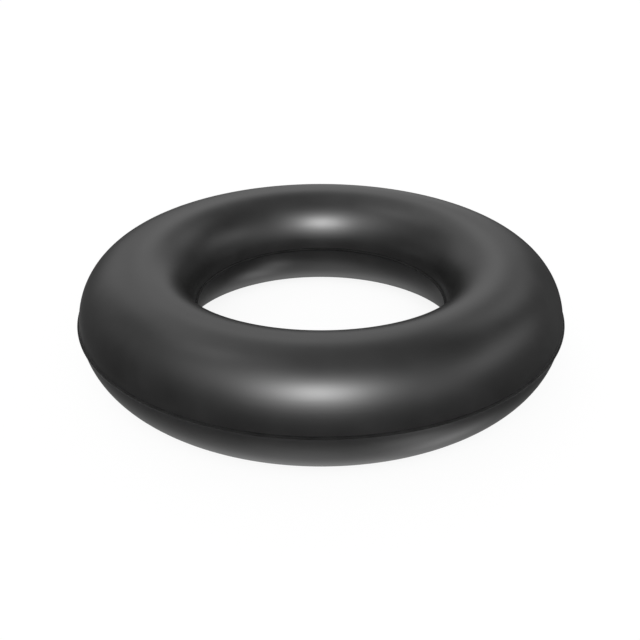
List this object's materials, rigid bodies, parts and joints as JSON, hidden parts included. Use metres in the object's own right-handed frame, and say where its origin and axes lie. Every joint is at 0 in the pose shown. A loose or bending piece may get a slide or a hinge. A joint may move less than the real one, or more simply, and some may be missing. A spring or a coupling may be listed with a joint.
{
  "type": "rubber o-ring",
  "caption": "Solid rubber sealing ring of round section, with a thin moulding ridge round its outside and its hole. Seals a rod, a bore or two flat faces.",
  "frame": {"origin": "centre of the ring, halfway up its section, in the plane of the parting line", "axes": "+Z along the ring's axis, which is up as it lies flat. X and Y are any two directions across it"},
  "size_m": [0.023, 0.023, 0.0054],
  "materials": {
    "rubber": "satin"
  },
  "bodies": {
    "root": {"o_ring": "rubber"}
  },
  "joints": []
}
